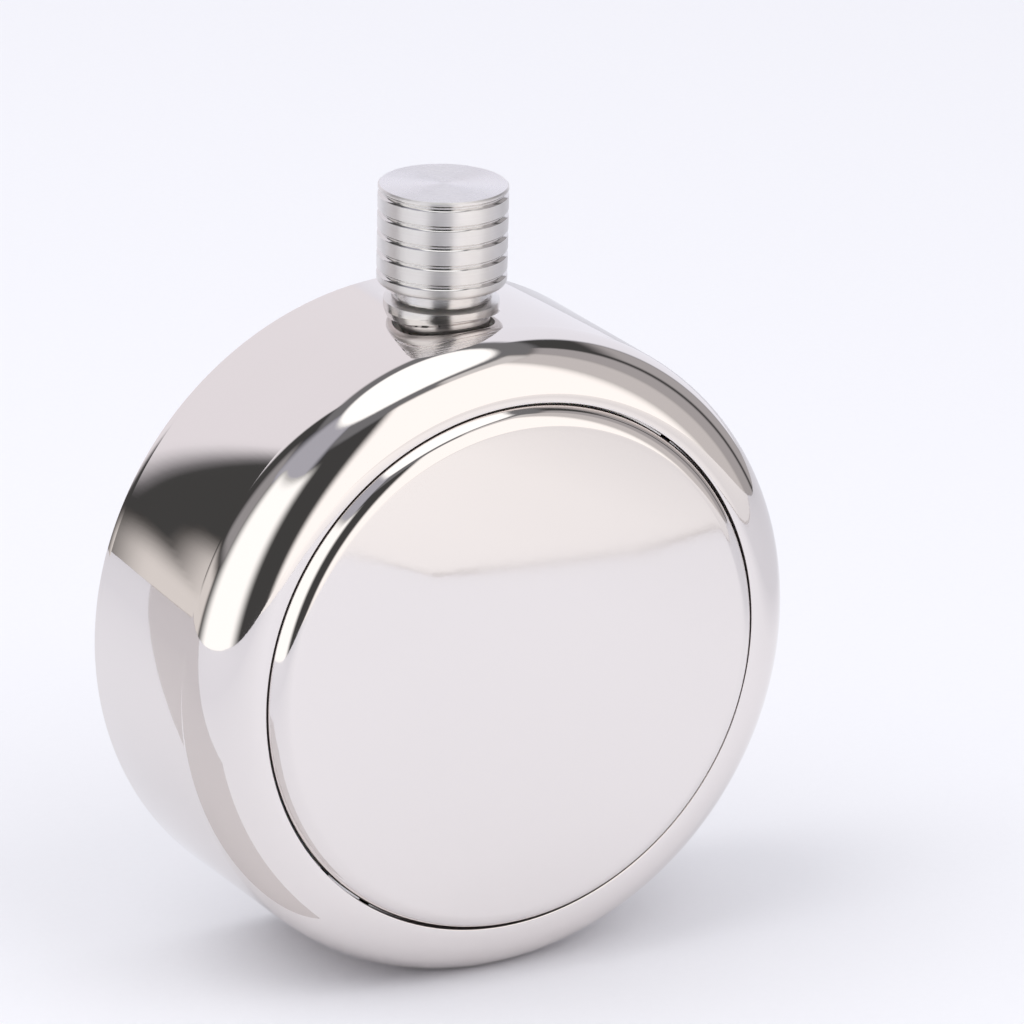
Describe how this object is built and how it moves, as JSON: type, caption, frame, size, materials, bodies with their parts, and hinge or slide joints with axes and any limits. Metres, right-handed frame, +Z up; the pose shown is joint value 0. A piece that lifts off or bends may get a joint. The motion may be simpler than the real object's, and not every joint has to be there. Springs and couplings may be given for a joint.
{
  "type": "hip flask",
  "caption": "Round steel hip flask with a screw cap on a short neck and a telescoping cup that screws into its domed face.",
  "frame": {"origin": "middle of the small flat that the flask stands on, straight under the neck, at the foot mount", "axes": "+Z up through the neck; -Y out of the domed face that carries the cup; +X to the right seen from that face"},
  "size_m": [0.095, 0.0394, 0.1119],
  "materials": {
    "polished_steel": "mirror polished stainless steel",
    "turned_steel": "fine turned, satin to bright",
    "drawn_steel": "drawn sheet, satin",
    "liner_plastic": "moulded white polymer",
    "silicone": "translucent white silicone"
  },
  "bodies": {
    "flask_body": {"side_band": "polished_steel", "front_shell": "polished_steel", "back_plate": "polished_steel", "cup_well": "drawn_steel", "mouth_ring": "turned_steel", "neck_spout": "turned_steel", "neck_collar": "turned_steel"},
    "cap_seal": {"cap_gasket": "silicone"},
    "cap": {"cap_shell": "turned_steel", "cap_liner": "liner_plastic"},
    "cover_seal": {"cover_gasket": "silicone"},
    "cup": {"cup_cover": "polished_steel", "cup_floor": "drawn_steel", "cup_ring_1": "drawn_steel"},
    "second_ring": {"cup_ring_2": "drawn_steel"},
    "third_ring": {"cup_ring_3": "drawn_steel"},
    "rim_ring": {"cup_ring_4": "drawn_steel"}
  },
  "joints": [
    {"name": "cap_lift", "type": "slide", "parent": "flask_body", "child": "cap_seal", "axis": [0, 0, 1], "range_m": [0, 0.014]},
    {"name": "cap_turn", "type": "hinge", "parent": "cap_seal", "child": "cap", "pos_m": [0, 0, 0.09455], "axis": [0, 0, 1], "range_deg": [0, 2520]},
    {"name": "cup_lift", "type": "slide", "parent": "flask_body", "child": "cover_seal", "axis": [0, -1, 0], "range_m": [0, 0.08]},
    {"name": "cup_turn", "type": "hinge", "parent": "cover_seal", "child": "cup", "pos_m": [0, 0, 0.04705], "axis": [0, -1, 0], "range_deg": [0, 3600]},
    {"name": "second_ring_slide", "type": "slide", "parent": "cup", "child": "second_ring", "axis": [0, 1, 0], "range_m": [0, 0.0106]},
    {"name": "third_ring_slide", "type": "slide", "parent": "second_ring", "child": "third_ring", "axis": [0, 1, 0], "range_m": [0, 0.0106]},
    {"name": "rim_ring_slide", "type": "slide", "parent": "third_ring", "child": "rim_ring", "axis": [0, 1, 0], "range_m": [0, 0.0106]}
  ],
  "couplings": [
    {"joint": "cap_lift", "follows": "cap_turn", "m_per_rad": 0.00031831},
    {"joint": "cup_lift", "follows": "cup_turn", "m_per_rad": 0.0012732},
    {"joint": "second_ring_slide", "follows": "cup_turn", "m_per_rad": 0.0001687},
    {"joint": "third_ring_slide", "follows": "cup_turn", "m_per_rad": 0.0001687},
    {"joint": "rim_ring_slide", "follows": "cup_turn", "m_per_rad": 0.0001687}
  ]
}
